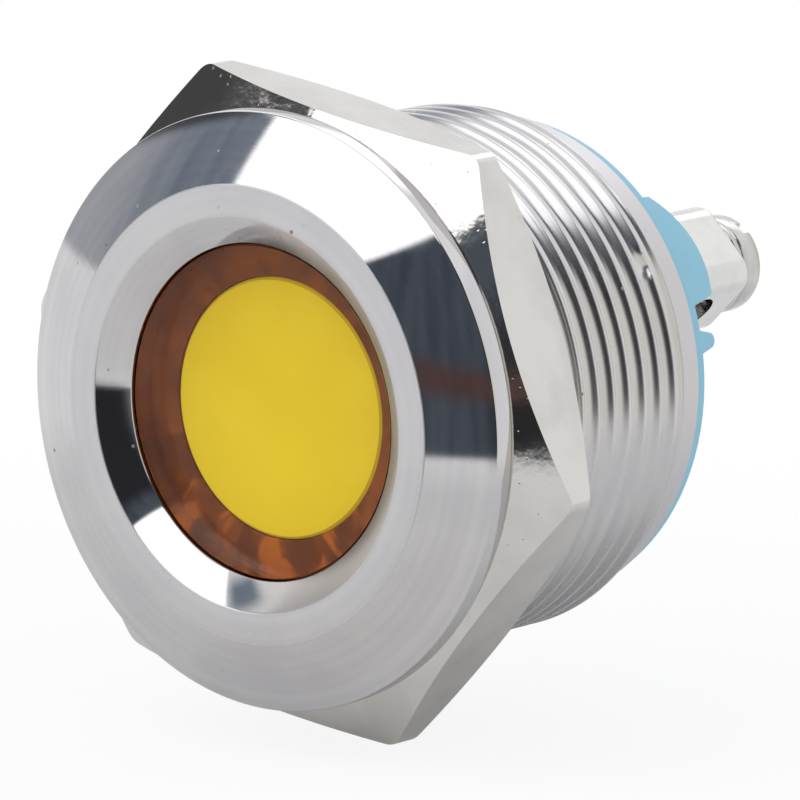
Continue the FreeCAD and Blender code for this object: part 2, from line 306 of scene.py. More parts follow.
# %% Nickel plate on turned brass: tone and relief
marks = use(tree, turning, {"Fineness": 26.0, "Waver": 0.5})
rust = use(tree, specks, {"Size": 0.5, "Amount": 0.006})["Mask"]
tone = calc(tree, "ADD", calc(tree, "MULTIPLY", sheen["Value"], 0.5), calc(tree, "MULTIPLY", marks["Streak"], 0.5))
colour = blend(tree, remap(tree, tone, 0.35, 0.65), (0.545, 0.535, 0.55, 1), (0.60, 0.59, 0.60, 1))
# The beige on that side of the bevel is painted shade, a tone for the face ring's shade on it; the rust spots are
# real.
for mask, tint in ((dull_side_with_painted_shade, (0.70, 0.655, 0.61, 1)), (on_neck, (0.60, 0.59, 0.615, 1)),
                   (rust, (0.33, 0.16, 0.13, 1))):
    colour = blend(tree, mask, colour, tint)
wire(tree, shader, Base_Color=colour)
relief = calc(tree, "ADD", calc(tree, "MULTIPLY", marks["Height"], 0.5), calc(tree, "MULTIPLY", dust, 0.5))
bump(tree, shader, relief, 0.05)

# %% [markdown]
# The nut has the same plating over drawn bar, so its marks don't run round. It is a little warmer, and its flats
# carry shallow pits and dents that break up the reflections at their edges.

# %% Nickel on the nut
nut_metal, tree, shader = new_finish("drawn_nickel", Metallic=1.0, IOR=1.45)
sheen = use(tree, mottle, {"Size": 2.5})
pits = use(tree, mottle, {"Size": 0.5, "Detail": 2.0})
dents = use(tree, specks, {"Size": 0.3, "Amount": 0.12})["Mask"]
colour = blend(tree, remap(tree, sheen["Value"], 0.35, 0.65), (0.60, 0.585, 0.565, 1), (0.66, 0.645, 0.625, 1))
wire(tree, shader, Base_Color=colour, Roughness=remap(tree, sheen["Value"], 0.3, 0.7, 0.05, 0.10))
bump(tree, shader, calc(tree, "SUBTRACT", pits["Value"], calc(tree, "MULTIPLY", dents, 0.8)), 0.35)

# %% [markdown]
# The lens is one moulding that shows two ways: nearly colourless over the disc, brown in its thick rim. Two pieces
# stand for it, a clear window and an amber rim. Soft light would hardly find its way through real glass to what lies
# behind, so the window lets shadow rays and diffuse rays pass straight; only what is seen is bent.

# %% Clear window
lens_clear, tree, shader = new_finish("clear_window", Metallic=0.0, Transmission_Weight=1.0, IOR=1.49,
                                      Specular_Tint=(0.12, 0.11, 0.10, 1))
cloud = use(tree, mottle, {"Size": 2.2})
wire(tree, shader, Base_Color=blend(tree, cloud["Value"], (0.985, 0.965, 0.90, 1), (0.995, 0.98, 0.93, 1)),
     Roughness=remap(tree, cloud["Grain"], 0.3, 0.7, 0.0, 0.008))
ray = add(tree, "ShaderNodeLightPath").outputs
soft = calc(tree, "MAXIMUM", ray["Is Shadow Ray"], ray["Is Diffuse Ray"])
straight = add(tree, "ShaderNodeBsdfTransparent", {"Color": (0.98, 0.96, 0.90, 1)}).outputs[0]
tree.links.new(add(tree, "ShaderNodeMixShader", {0: soft, 1: shader.outputs[0], 2: straight}).outputs[0],
               tree.nodes["Material Output"].inputs["Surface"])

# %% [markdown]
# The rim is seen through a few millimetres of amber, so it reads as a brown body. The plastic flowed round the mould
# as it filled, which left ribbons across the rim. The bright streaks in its lower half are painted light: light
# through the lens gathered at the bottom of the rim. A noise read by the turn gives ribbons that have no seam, which
# a noise read by the angle itself would have.

# %% Amber rim
RIM_STRETCH = 5.0
lens_amber, tree, shader = new_finish("amber_rim", Metallic=0.0, IOR=1.49, Specular_IOR_Level=0.1)
place = use(tree, lathe_place)
cloud = use(tree, mottle, {"Size": 1.8, "Detail": 6.0})
around, upward = calc(tree, "COSINE", place["Turn"]), calc(tree, "SINE", place["Turn"])
flow = add(tree, "ShaderNodeCombineXYZ", {
    0: calc(tree, "MULTIPLY", around, RIM_STRETCH),
    1: calc(tree, "MULTIPLY", upward, RIM_STRETCH),
    2: calc(tree, "MULTIPLY", place["Radius"], 0.6)}).outputs[0]
ribbons = noise(tree, {"Vector": flow, "Scale": 0.7, "Detail": 2.0, "Distortion": 0.9})
# Bright streaks in the lower half only: painted light, gathered at the bottom of the rim.
painted_light_streak = calc(tree, "MULTIPLY", remap(tree, ribbons, 0.50, 0.60), remap(tree, upward, -0.35, -0.8))
colour = blend(tree, remap(tree, cloud["Value"], 0.35, 0.65), (0.19, 0.045, 0.005, 1), (0.27, 0.068, 0.008, 1))
for mask, tint in ((remap(tree, ribbons, 0.54, 0.36), (0.155, 0.036, 0.005, 1)),
                   (painted_light_streak, (0.50, 0.135, 0.012, 1)),
                   (remap(tree, place["Depth"], -0.2, -0.7), (0.15, 0.036, 0.006, 1))):
    colour = blend(tree, mask, colour, tint)
wire(tree, shader, Base_Color=colour, Roughness=remap(tree, cloud["Grain"], 0.3, 0.7, 0.12, 0.2))
bump(tree, shader, ribbons, 0.3, FLOW_RELIEF)

# %% [markdown]
# The disc behind the window is a plain yellow moulding with a satin face. Its gloss is set low, because the window
# in front of it would otherwise lay a grey veil over it.

# %% Yellow diffuser disc
diffuser_yellow, tree, shader = new_finish("yellow_disc", Metallic=0.0, IOR=1.46, Specular_IOR_Level=0.15)
cloud = use(tree, mottle, {"Size": 4.0})
colour = blend(tree, remap(tree, cloud["Value"], 0.3, 0.7), (0.93, 0.69, 0.010, 1), (0.97, 0.745, 0.018, 1))
wire(tree, shader, Base_Color=colour, Roughness=remap(tree, cloud["Grain"], 0.3, 0.7, 0.32, 0.42))
bump(tree, shader, cloud["Grain"], 0.08)

# %% [markdown]
# The small and hidden pieces share one recipe: a mottled colour, a roughness that wanders, and a fine grain. Each
# gets its own numbers, because rubber, solder mask and moulded plastic differ in little else at this size.

# %% Moulded and painted finishes
def mottled(name, dark, light, rough, size=2.0, grain=0.1, metallic=0.0):
    """A finish whose colour and roughness wander a little."""
    material, tree, shader = new_finish(name, Metallic=metallic)
    cloud = use(tree, mottle, {"Size": size})
    colour = blend(tree, remap(tree, cloud["Value"], 0.3, 0.7), (*dark, 1), (*light, 1))
    wire(tree, shader, Base_Color=colour, Roughness=remap(tree, cloud["Value"], 0.3, 0.7, *rough))
    bump(tree, shader, cloud["Grain"], grain)
    return material


base_blue = mottled("blue_moulding", (0.265, 0.555, 0.725), (0.285, 0.585, 0.755), (0.36, 0.46), 1.5, 0.15)
seal_rubber = mottled("seal_rubber", (0.012, 0.012, 0.012), (0.02, 0.02, 0.02), (0.6, 0.75), 0.6, 0.4)
cup_white = mottled("white_moulding", (0.76, 0.76, 0.73), (0.82, 0.82, 0.80), (0.38, 0.46), 2.0, 0.1)
board_green = mottled("solder_mask", (0.006, 0.05, 0.014), (0.012, 0.075, 0.022), (0.25, 0.4), 1.2, 0.1)
component_black = mottled("black_moulding", (0.014, 0.014, 0.015), (0.022, 0.022, 0.023), (0.5, 0.62), 0.5, 0.3)
capacitor_can = mottled("satin_can", (0.60, 0.60, 0.61), (0.68, 0.68, 0.69), (0.22, 0.3), 1.5, 0.1, 1.0)
post_metal = mottled("bright_nickel", (0.64, 0.64, 0.635), (0.70, 0.70, 0.69), (0.10, 0.16), 1.2, 0.06, 1.0)
screw_metal = mottled("screw_nickel", (0.50, 0.50, 0.495), (0.58, 0.575, 0.57), (0.12, 0.2), 0.8, 0.15, 1.0)
lead_red = mottled("red_insulation", (0.36, 0.012, 0.01), (0.44, 0.02, 0.015), (0.35, 0.45), 0.8, 0.1)
lead_black = mottled("black_insulation", (0.015, 0.015, 0.015), (0.025, 0.025, 0.025), (0.35, 0.45), 0.8, 0.1)

# %% [markdown]
# A lamp chip is a white body round a yellow window. The four chips stand in one ring about the axis, so the window
# of each is a band of radius, and no pattern has to be placed four times.

# %% Lamp chips
led_body, tree, shader = new_finish("lamp_chip", Metallic=0.0)
cloud = use(tree, mottle, {"Size": 1.0})
place = use(tree, lathe_place)
window = calc(tree, "MULTIPLY", remap(tree, place["Radius"], 1.9, 2.0), remap(tree, place["Radius"], 4.1, 4.0))
wire(tree, shader, Base_Color=blend(tree, window, (0.80, 0.80, 0.76, 1), (0.80, 0.62, 0.12, 1)),
     Roughness=remap(tree, cloud["Value"], 0.3, 0.7, 0.3, 0.4))

# %% [markdown]
# Eleven solids are good as they are. Each keeps its mesh and takes a better finish in the slot that it has.

# %% Give each kept solid its finish
finishes = {
    "panel_seal": seal_rubber, "lens_seal": seal_rubber, "reflector_cup": cup_white, "led_board": board_green,
    "led_chips": led_body, "resistors": component_black, "rectifier": component_black, "capacitor": capacitor_can,
    "rear_base": base_blue, "lead_wire_a": lead_red, "lead_wire_b": lead_black,
}
for node, material in finishes.items():
    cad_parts[node].material_slots[0].material = material
print(len(finishes), "kept solids have their finish")

# %% [markdown]
# The barrel's thread is a real helix here. One pitch of its section is drawn once and repeated along the barrel,
# then spun through one turn while it climbs one pitch, so the end of the turn meets the start and the seam merges.
# A stack of rings would look the same at a glance, but its crests wouldn't wander from side to side. The grooves
# are scooped, so each one shades from bright at its foot to dark below the crest.

# %% One pitch of the section
CREST, ROOT, PITCH = 11.0, 10.655, 1.0
CREST_EDGE, CREST_RIM = (CREST - 0.02, -0.078), (CREST, -0.05)


def thread_section(rows=9):
    """(radius, depth) points from one root to the next: a scooped groove on each side of a narrow crest."""
    points = []
    for step in range(rows):
        share = step / rows
        points.append((ROOT + (CREST_EDGE[0] - ROOT) * share ** 2, -PITCH / 2 + (CREST_EDGE[1] + PITCH / 2) * share))
    points += [CREST_EDGE, CREST_RIM]
    return points + [(radius, -depth) for radius, depth in reversed(points)]


section = thread_section()
print(len(section), "points in one pitch")

# %% Spin the thread and trim it
THREAD_START, THREAD_END = 1.0, 13.49
CRESTS, FIRST_CREST = 15, 12.10 - 13 * PITCH
STEPS = 240

housing = bmesh.new()
climb = []
for number in range(CRESTS):
    climb += [(radius, FIRST_CREST + number * PITCH + depth) for radius, depth in section[:-1]]
line = [housing.verts.new((radius, depth, 0)) for radius, depth in climb]
for start, end in zip(line, line[1:]):
    housing.edges.new((start, end))
bmesh.ops.spin(housing, geom=housing.verts[:] + housing.edges[:], cent=(0, 0, 0), axis=AXIS,
               dvec=(0, PITCH / STEPS, 0), angle=2 * math.pi, steps=STEPS, use_merge=False, use_duplicate=False)
bmesh.ops.remove_doubles(housing, verts=housing.verts, dist=1e-3)
for cut, keep_rear in ((THREAD_START, True), (THREAD_END, False)):
    bmesh.ops.bisect_plane(housing, geom=housing.verts[:] + housing.edges[:] + housing.faces[:], dist=1e-5,
                           plane_co=(0, cut, 0), plane_no=AXIS, clear_inner=keep_rear, clear_outer=not keep_rear)
print("thread", len(housing.faces), "faces")

# %% [markdown]
# One crest of the real thread has been knocked, and the thread runs out in a short slope at the neck. Both are
# moves of the points that are there already: a soft hollow round one spot, and a limit on the radius near the end.

# %% The knock and the run-out
NICK_TURN, NICK_DEPTH, NICK_REACH = math.radians(29.5), 12.018, 0.62
NICK_BACK, NICK_IN = 0.16, 0.12
NECK, END_SLOPE = 10.3, math.tan(math.radians(35))


def on_crest(turn, depth):
    """The point on the crests' radius at one turn and depth."""
    return Vector((math.cos(turn) * CREST, depth, math.sin(turn) * CREST))


nick = on_crest(NICK_TURN, NICK_DEPTH)
for vertex in housing.verts:
    aside = (vertex.co - nick).length
    if aside < NICK_REACH:
        hollow = 0.5 + 0.5 * math.cos(math.pi * aside / NICK_REACH)
        vertex.co.y += NICK_BACK * hollow
        vertex.co.x -= NICK_IN * hollow * math.cos(NICK_TURN)
        vertex.co.z -= NICK_IN * hollow * math.sin(NICK_TURN)
for vertex in housing.verts:
    limit = NECK + (THREAD_END - vertex.co.y) * END_SLOPE
    if radius_of(vertex) > limit:
        scale = limit / radius_of(vertex)
        vertex.co.x *= scale
        vertex.co.z *= scale
print("knock at", tuple(round(value, 2) for value in nick))

# %% [markdown]
# The rest of the housing grows out of the thread's two open ends: each end's loop of edges is extruded again and
# again, and every new loop is set to the next radius and depth of the outline. The two last loops are bridged deep
# in the bore, where nothing shows.

# %% Carry a loop of edges along an outline
def end_loop(mesh, depth):
    """The open edges that lie at one depth."""
    return [e for e in mesh.edges if e.is_boundary and all(abs(v.co.y - depth) < 1e-3 for v in e.verts)]


def carry_on(mesh, edges, outline):
    """Extrudes a loop to each (radius, depth) in turn; returns the last loop."""
    for radius, depth in outline:
        grown = bmesh.ops.extrude_edge_only(mesh, edges=edges)["geom"]
        edges = [item for item in grown if isinstance(item, bmesh.types.BMEdge)]
        for vertex in (item for item in grown if isinstance(item, bmesh.types.BMVert)):
            scale = radius / radius_of(vertex)
            vertex.co = (vertex.co.x * scale, depth, vertex.co.z * scale)
    return edges


print("loops", len(end_loop(housing, THREAD_START)), len(end_loop(housing, THREAD_END)), "edges")

# %% Flange, cone, face ring, bevel, bore and neck
UNDERCUT, BREAK = 10.1, 0.1
FLANGE, RIM, FACE = 12.26, -0.94, -2.04
RING_OUT, RING_IN, WINDOW, WINDOW_FRONT = 9.38, 8.07, 6.9, -1.09
CHAMBER, CHAMBER_FRONT, NECK_REAR = 8.9, 1.2, 14.56
front = carry_on(housing, end_loop(housing, THREAD_START), [
    (UNDERCUT, THREAD_START), (UNDERCUT, 0), (FLANGE - BREAK, 0), (FLANGE, -BREAK), (FLANGE, RIM), (RING_OUT, FACE),
    (RING_IN, FACE), (WINDOW, WINDOW_FRONT), (WINDOW, CHAMBER_FRONT), (CHAMBER, CHAMBER_FRONT), (CHAMBER, 13.9)])
rear = carry_on(housing, end_loop(housing, THREAD_END), [
    (NECK, NECK_REAR - BREAK), (NECK - BREAK, NECK_REAR), (CHAMBER, NECK_REAR), (CHAMBER, 14.4)])
bmesh.ops.bridge_loops(housing, edges=front + rear)
bmesh.ops.recalc_face_normals(housing, faces=housing.faces)
for radius, depth, size in ((FLANGE, RIM, 0.06), (RING_OUT, FACE, 0.05), (RING_IN, FACE, 0.05),
                            (WINDOW, WINDOW_FRONT, 0.05)):
    round_ring(housing, radius, depth, size)
for turn in (27.0, 32.2):
    burr = on_crest(math.radians(turn), 11.94)
    bmesh.ops.create_icosphere(housing, subdivisions=3, radius=0.055, matrix=Matrix.Translation(burr))
print("open edges in the housing", sum(e.is_boundary for e in housing.edges))
finish_piece(housing, "bezel_housing_turned", "light", "bezel_housing", bezel_metal)

# %% [markdown]
# The nut starts as a turned ring too. Its outer loops are then moved out to a hexagon with rounded corners, and
# back along a thirty degree cone, which is how a real nut gets the curved edges where its chamfer meets the flats.

# %% The hexagon
ACROSS, CORNER = 12.5, 0.8
NUT_CORNER_ANGLE = math.radians(110.2)
HALF_SIDE = math.pi / 6


def hexagon_radius(angle):
    """Distance from the axis to the hexagon's edge, with its corners rounded."""
    off = (angle - NUT_CORNER_ANGLE) % (2 * HALF_SIDE)
    off = min(off, 2 * HALF_SIDE - off)
    flat_end = math.atan2((ACROSS - CORNER) * math.tan(HALF_SIDE), ACROSS)
    if HALF_SIDE - off < flat_end:
        return ACROSS / math.cos(HALF_SIDE - off)
    arc_middle = (ACROSS - CORNER) / math.cos(HALF_SIDE)
    return arc_middle * math.cos(off) + math.sqrt(CORNER ** 2 - (arc_middle * math.sin(off)) ** 2)


print("hexagon", 2 * hexagon_radius(NUT_CORNER_ANGLE + HALF_SIDE), "across flats,",
      round(2 * hexagon_radius(NUT_CORNER_ANGLE), 2), "across corners")

# %% Hexagon nut
BORE, BORE_GROOVE, NUT_DEPTH = 11.05, 0.22, 4.0
NUT_FRONT = 0.01  # a hair off the flange, so the two faces don't lie in one plane
CHAMFER_AT, CHAMFER_SLOPE = 11.85, math.tan(math.radians(30))
LOOPS = (0.5, 1.5, 2.5, 3.5)
TO_MOVE = 13


def nut_outline():
    """Closed outline; the points at radius TO_MOVE are moved to the hexagon afterwards."""
    points = [(BORE + 0.3, NUT_FRONT), (CHAMFER_AT, NUT_FRONT)] + [(TO_MOVE, loop) for loop in LOOPS]
    points += [(CHAMFER_AT, NUT_DEPTH), (BORE + 0.3, NUT_DEPTH)]
    for groove in reversed(LOOPS):
        points += [(BORE, groove + 0.2), (BORE + BORE_GROOVE, groove), (BORE, groove - 0.2)]
    return points


nut = lathe(nut_outline(), steps=720)
for vertex in nut.verts:
    if radius_of(vertex) > ACROSS:
        reach = hexagon_radius(math.atan2(vertex.co.z, vertex.co.x))
        scale = reach / radius_of(vertex)
        drop = (reach - CHAMFER_AT) * CHAMFER_SLOPE
        share = LOOPS.index(round(vertex.co.y, 1)) / 3
        vertex.co = (vertex.co.x * scale, drop + (NUT_DEPTH - 2 * drop) * share, vertex.co.z * scale)
finish_piece(nut, "hex_nut_chamfered", "nut", "hex_nut", nut_metal, sharp=22)

# %% [markdown]
# Window, rim and disc are three turned pieces that sit one inside the other. A hair of air stays between window and
# rim, because two surfaces of plastic in one place would fight for each pixel.

# %% Lens window, its amber rim, and the disc behind
PANE, PANE_FRONT, PANE_REAR = 6.80, -1.01, 0.90
RIM_OUT, RIM_IN, RIM_FRONT = 6.85, 6.82, -0.93
SKIRT, SHOULDER, SKIRT_REAR, WELL, WELL_FRONT = 8.4, 1.7, 2.9, 5.3, 0.92
DISC, DISC_BREAK, DISC_FRONT, DISC_REAR = 5.26, 0.1, 0.93, 1.89
window = lathe([(0, PANE_FRONT), (PANE, PANE_FRONT), (PANE, PANE_REAR), (0, PANE_REAR)], steps=160, closed=False)
round_ring(window, PANE, PANE_FRONT, 0.03)
finish_piece(window, "lens_window", "light", "lens", lens_clear)
amber = lathe([(RIM_OUT, RIM_FRONT), (RIM_OUT, SHOULDER), (SKIRT, SHOULDER), (SKIRT, SKIRT_REAR), (WELL, SKIRT_REAR),
               (WELL, WELL_FRONT), (RIM_IN, WELL_FRONT), (RIM_IN, RIM_FRONT)], steps=160)
round_ring(amber, WELL, WELL_FRONT, 0.05)
finish_piece(amber, "lens_amber_rim", "light", "lens", lens_amber)
disc = lathe([(0, DISC_FRONT), (DISC - DISC_BREAK, DISC_FRONT), (DISC, DISC_FRONT + DISC_BREAK), (DISC, DISC_REAR),
              (0, DISC_REAR)], steps=120, closed=False)
finish_piece(disc, "diffuser_disc", "light", "diffuser", diffuser_yellow)

# %% [markdown]
# Real edges are never quite sharp, and on bright metal each small rounding draws a light and a dark line. The
# pillars, washers and screws get theirs here. Holes and slots are cut with a Boolean, and its result is read back
# into a bmesh, so the shape can go on being worked.

# %% Boolean cut
def cut_away(mesh, *cutters):
    """Cuts each closed bmesh out of the first; returns the result."""
    for cutter in cutters:
        pair = []
        for part in (mesh, cutter):
            data = bpy.data.meshes.new("work")
            part.to_mesh(data)
            part.free()
            pair.append(bpy.data.objects.new("work", data))
            bpy.context.scene.collection.objects.link(pair[-1])
        step = pair[0].modifiers.new("cut", "BOOLEAN")
        step.operation, step.solver, step.object = "DIFFERENCE", "EXACT", pair[1]
        mesh = bmesh.new()
        mesh.from_object(pair[0], bpy.context.evaluated_depsgraph_get())
        for item in pair:
            bpy.data.meshes.remove(item.data)
    return mesh


def block(size, middle):
    """A box by its three lengths and its middle."""
    mesh = bmesh.new()
    bmesh.ops.create_cube(mesh, size=1.0, matrix=Matrix.Translation(middle) @ Matrix.Diagonal((*size, 1)))
    return mesh


def turn_about_axis(mesh, degrees):
    """Turns from +X towards +Z."""
    bmesh.ops.rotate(mesh, cent=(0, 0, 0), matrix=Matrix.Rotation(-math.radians(degrees), 3, "Y"), verts=mesh.verts)
    return mesh


print("cutting helpers:", cut_away.__name__, block.__name__, turn_about_axis.__name__)

# %% [markdown]
# A terminal is a square pillar with round corners, tapped from the rear and drilled across for the wire, with a
# solder pin towards the board. Pillar, washer and screw are made on the axis, where their numbers are simplest, and
# moved to their place later.

# %% The pillar
PIN_FRONT, SEAT, POST_END, HEAD_SEAT, HEAD_REAR = 12.46, 15.26, 20.06, 20.44, 21.64
POST_WIDTH, POST_CORNER, POST_BREAK, POST_TURN = 4.2, 1.0, 0.18, 45
WIRE_HOLE, WIRE_HOLE_AT, TAP, TAP_FRONT = 1.0, 17.61, 1.3, 16.54
PIN, PIN_LENGTH = 0.65, 2.85


def make_post():
    """The pillar with its holes and its solder pin."""
    mesh = block((POST_WIDTH, POST_END - SEAT, POST_WIDTH), (0, (SEAT + POST_END) / 2, 0))
    round_edges(mesh, [e for e in mesh.edges if abs(e.verts[0].co.y - e.verts[1].co.y) > 1], POST_CORNER, 8)
    round_edges(mesh, [e for e in mesh.edges if all(abs(v.co.y - POST_END) < MERGE for v in e.verts)], POST_BREAK, 3)
    hole = bmesh.new()
    bmesh.ops.create_cone(hole, cap_ends=True, segments=48, radius1=WIRE_HOLE, radius2=WIRE_HOLE, depth=6,
                          matrix=Matrix.Translation((0, WIRE_HOLE_AT, 0)))
    tap = lathe([(0, TAP_FRONT), (TAP, TAP_FRONT), (TAP, 20.6), (0, 20.6)], steps=48, closed=False)
    mesh = cut_away(mesh, hole, tap)
    pin = bmesh.ops.create_cone(mesh, cap_ends=True, segments=32, radius1=PIN, radius2=PIN, depth=PIN_LENGTH)["verts"]
    bmesh.ops.rotate(mesh, cent=(0, 0, 0), matrix=Matrix.Rotation(math.pi / 2, 3, "X"), verts=pin)
    bmesh.ops.translate(mesh, vec=(0, PIN_FRONT + PIN_LENGTH / 2, 0), verts=pin)
    return turn_about_axis(mesh, POST_TURN)


print("pillar", round(POST_END - SEAT, 2), "mm long")

# %% The washer and the screw
WASHER_IN, WASHER_OUT, WASHER_REAR = 1.35, 2.05, 20.41
SHANK, SHANK_TIP, SHANK_FRONT, HEAD = 1.25, 1.0, 16.94, 2.03
SLOT_LENGTH, SLOT_WIDTH, ARM_LENGTH, ARM_WIDTH = 4.4, 0.6, 2.2, 0.5
SLOT_DEPTH, SLOT_TURN, OVER = 0.55, 54, 0.2


def make_washer():
    """A flat ring with both outer edges broken."""
    mesh = lathe([(WASHER_IN, POST_END), (WASHER_OUT, POST_END), (WASHER_OUT, WASHER_REAR), (WASHER_IN, WASHER_REAR)],
                 steps=96)
    for depth in (POST_END, WASHER_REAR):
        round_ring(mesh, WASHER_OUT, depth, 0.1)
    return mesh


def make_screw():
    """A shank with a bevelled tip under a round head, with a long slot and a short one across it."""
    mesh = lathe([(0, SHANK_FRONT), (SHANK_TIP, SHANK_FRONT), (SHANK, SHANK_FRONT + SHANK - SHANK_TIP),
                  (SHANK, HEAD_SEAT), (HEAD, HEAD_SEAT), (HEAD, HEAD_REAR), (0, HEAD_REAR)], steps=96, closed=False)
    round_ring(mesh, HEAD, HEAD_SEAT, 0.25, 4)
    round_ring(mesh, HEAD, HEAD_REAR, 0.3, 5)
    middle = (0, HEAD_REAR + (OVER - SLOT_DEPTH) / 2, 0)
    slot = block((SLOT_LENGTH, SLOT_DEPTH + OVER, SLOT_WIDTH), middle)
    arm = block((ARM_WIDTH, SLOT_DEPTH + OVER, ARM_LENGTH), middle)
    return turn_about_axis(cut_away(mesh, slot, arm), SLOT_TURN)


print("screw head", round(HEAD_REAR - HEAD_SEAT, 2), "mm high")

# %% [markdown]
# The two terminals stand opposite each other and are the same pieces, turned by half a turn in place only. Their
# large faces lie next to small roundings, and smooth shading would bend the reflections there. A Weighted Normal
# modifier gives the large faces the say, so they stay flat.

# %% Set the terminal pieces at both sides
TERMINAL_RADIUS, TERMINAL_TURN = 7.12, 32.1
recipes = ((make_post, "post", "light", "post_metal", post_metal),
           (make_washer, "washer", "washer_{}", "screw_metal", screw_metal),
           (make_screw, "screw", "screw_{}", "screw_metal", screw_metal))
for side, turn in (("a", TERMINAL_TURN), ("b", TERMINAL_TURN + 180)):
    spot = (math.cos(math.radians(turn)) * TERMINAL_RADIUS, 0, math.sin(math.radians(turn)) * TERMINAL_RADIUS)
    for make, kind, body, slot_name, finish in recipes:
        mesh = make()
        bmesh.ops.translate(mesh, vec=spot, verts=mesh.verts)
        piece = finish_piece(mesh, kind + "_rounded_" + side, body.format(side), "terminal_" + kind + "_" + side,
                             finish)
        flat = piece.modifiers.new("flat_faces", "WEIGHTED_NORMAL")
        flat.keep_sharp, flat.weight = True, 100

# %% [markdown]
# The studio is a white room. The camera sees plain white; what shines sees the room's cards as well: a bright
# softbox at the left, a slate card beside it, a black card, and the dark side where the camera stands. They are
# drawn in the world by direction, as azimuth and elevation in degrees, with soft edges. Real cards would do the
# same, but each would have to be kept out of the picture and off the floor.

# %% Group: one studio card
card, into, out = new_group("studio_card", {"Azimuth": 0.0, "Elevation": 0.0, "Left": -10.0, "Right": 10.0,
                                            "Bottom": -10.0, "Top": 10.0, "Slope": 0.0, "Tilt": 0.0,
                                            "Soft": 4.0}, ["Mask"])
place = into.outputs


def edge(inside, outside):
    """1 well inside an edge and 0 well outside it."""
    gap = calc(card, "DIVIDE", calc(card, "SUBTRACT", inside, outside), place["Soft"])
    return remap(card, gap, -0.5, 0.5)


along = calc(card, "SUBTRACT", place["Azimuth"], place["Left"])
top = calc(card, "ADD", place["Top"], calc(card, "MULTIPLY", along, place["Slope"]))
bottom = calc(card, "ADD", place["Bottom"], calc(card, "MULTIPLY", along, place["Tilt"]))
mask = calc(card, "MULTIPLY", edge(place["Azimuth"], place["Left"]), edge(place["Right"], place["Azimuth"]))
mask = calc(card, "MULTIPLY", mask, edge(place["Elevation"], bottom))
mask = calc(card, "MULTIPLY", mask, edge(top, place["Elevation"]))
card.links.new(mask, out.inputs["Mask"])
print("group", card.name)

# %% Directions in the white room
DEGREES = 57.2958
world = bpy.data.worlds.new("white_room")
bpy.context.scene.world = world
world.use_nodes = True
tree = world.node_tree
direction = add(tree, "ShaderNodeSeparateXYZ", {0: add(tree, "ShaderNodeTexCoord").outputs["Generated"]}).outputs
turned = calc(tree, "ARCTAN2", direction[0], calc(tree, "MULTIPLY", direction[1], -1.0))
azimuth = calc(tree, "MULTIPLY", turned, DEGREES)
elevation = calc(tree, "MULTIPLY", calc(tree, "ARCSINE", direction[2]), DEGREES)


def placed(left, right, bottom, top, soft, slope=0.0, tilt=0.0):
    """The mask of one card; slope and tilt slant its top and bottom edge."""
    return use(tree, card, {"Azimuth": azimuth, "Elevation": elevation, "Left": left, "Right": right,
                            "Bottom": bottom, "Top": top, "Slope": slope, "Tilt": tilt, "Soft": soft})[0]


def grey(level):
    """A neutral colour."""
    return (level, level, level, 1)


print("world", world.name)

# %% [markdown]
# Each card's place was read from the photo: a spot on the cone, the bevel or a chamfer has a known normal, so what
# it shows comes from a known direction. Faint folds of a cloth, a noise stretched upward, keep the dark cards from
# looking flat. Later cards lie over earlier ones.

# %% Cards seen by the polished metal
folds_at = add(tree, "ShaderNodeCombineXYZ", {0: calc(tree, "MULTIPLY", azimuth, 0.45),
                                              1: calc(tree, "MULTIPLY", elevation, 0.04)}).outputs[0]
folds = remap(tree, noise(tree, {"Vector": folds_at, "Scale": 1.0, "Detail": 2.0}), 0.35, 0.65)
slate = blend(tree, folds, (0.21, 0.24, 0.30, 1), (0.30, 0.34, 0.39, 1))
slate = blend(tree, remap(tree, azimuth, -78, -58), (0.50, 0.52, 0.55, 1), slate)
dim_side = blend(tree, folds, (0.065, 0.078, 0.105, 1), (0.10, 0.115, 0.14, 1))
to_the_rear = calc(tree, "GREATER_THAN", direction[1], 0.0)
behind = calc(tree, "MULTIPLY", remap(tree, elevation, 30, 37), to_the_rear)
side_low = placed(left=30, right=116, bottom=-30, top=31, soft=8, slope=0.17)
cards = {
    "slate card": (placed(left=-100, right=-45, bottom=1, top=32, soft=1.5), slate),
    "softbox": (placed(left=-45, right=60, bottom=8, top=60, soft=1.5), grey(1.95)),
    "black card": (placed(left=-85, right=-42, bottom=10, top=21, soft=2, slope=0.42, tilt=0.6),
                   (0.085, 0.085, 0.09, 1)),
    "small card": (placed(left=-67, right=-47, bottom=39, top=53, soft=9), (0.24, 0.29, 0.35, 1)),
    "camera side": (placed(left=-20, right=110, bottom=-13, top=11.5, soft=1.5, slope=0.63), dim_side),
    "camera": (placed(left=15, right=44, bottom=-14, top=26, soft=8, slope=0.4), (0.03, 0.03, 0.033, 1)),
    "warm band": (placed(left=-12, right=24, bottom=-3, top=2, soft=4), (0.115, 0.07, 0.065, 1)),
    "side wall": (calc(tree, "MULTIPLY", side_low, remap(tree, azimuth, 42, 62)), (0.94, 0.92, 0.84, 1)),
    "wall behind": (behind, grey(1.12)),
    "ceiling": (calc(tree, "MULTIPLY", behind, remap(tree, direction[0], 0.12, -0.02)), grey(1.8)),
    "warm wall": (calc(tree, "MULTIPLY", remap(tree, direction[1], 0.84, 0.91), remap(tree, elevation, 30, 24)),
                  (0.80, 0.76, 0.60, 1)),
}
room = grey(1)
for mask, colour in cards.values():
    room = blend(tree, mask, room, colour)
print("cards:", ", ".join(cards))

# %% Who sees what
AIR = 0.82
ray = add(tree, "ShaderNodeLightPath").outputs
shiny = calc(tree, "MAXIMUM", ray["Is Glossy Ray"], ray["Is Transmission Ray"])
seen = blend(tree, ray["Is Camera Ray"], blend(tree, shiny, grey(AIR), room), grey(1))
tree.links.new(seen, tree.nodes["Background"].inputs["Color"])
print("light from all sides", AIR)

